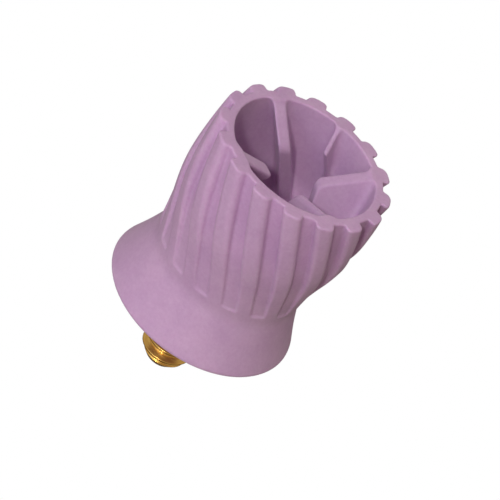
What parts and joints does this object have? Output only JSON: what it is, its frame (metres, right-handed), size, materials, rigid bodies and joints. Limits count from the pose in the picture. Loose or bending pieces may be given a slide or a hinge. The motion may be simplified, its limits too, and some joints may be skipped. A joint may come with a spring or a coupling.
{
  "type": "polishing cup",
  "caption": "Flared elastomer polishing cup with twisted outer ribs, a toothed mouth and inner vanes, moulded onto a small threaded brass screw.",
  "frame": {"origin": "on the axis of rotation, in the plane of the base face that seats on the polishing angle", "axes": "+Z along the axis towards the cup's mouth, so the screw points along -Z; +X and +Y lie in the base plane, with the angle of the ribs and vanes about Z fixed by the part's source"},
  "size_m": [0.0066, 0.0066, 0.0101],
  "materials": {
    "cup_elastomer": "matte",
    "insert_brass": "polished"
  },
  "bodies": {
    "root": {"polishing_cup": "cup_elastomer", "screw_insert": "insert_brass"}
  },
  "joints": []
}
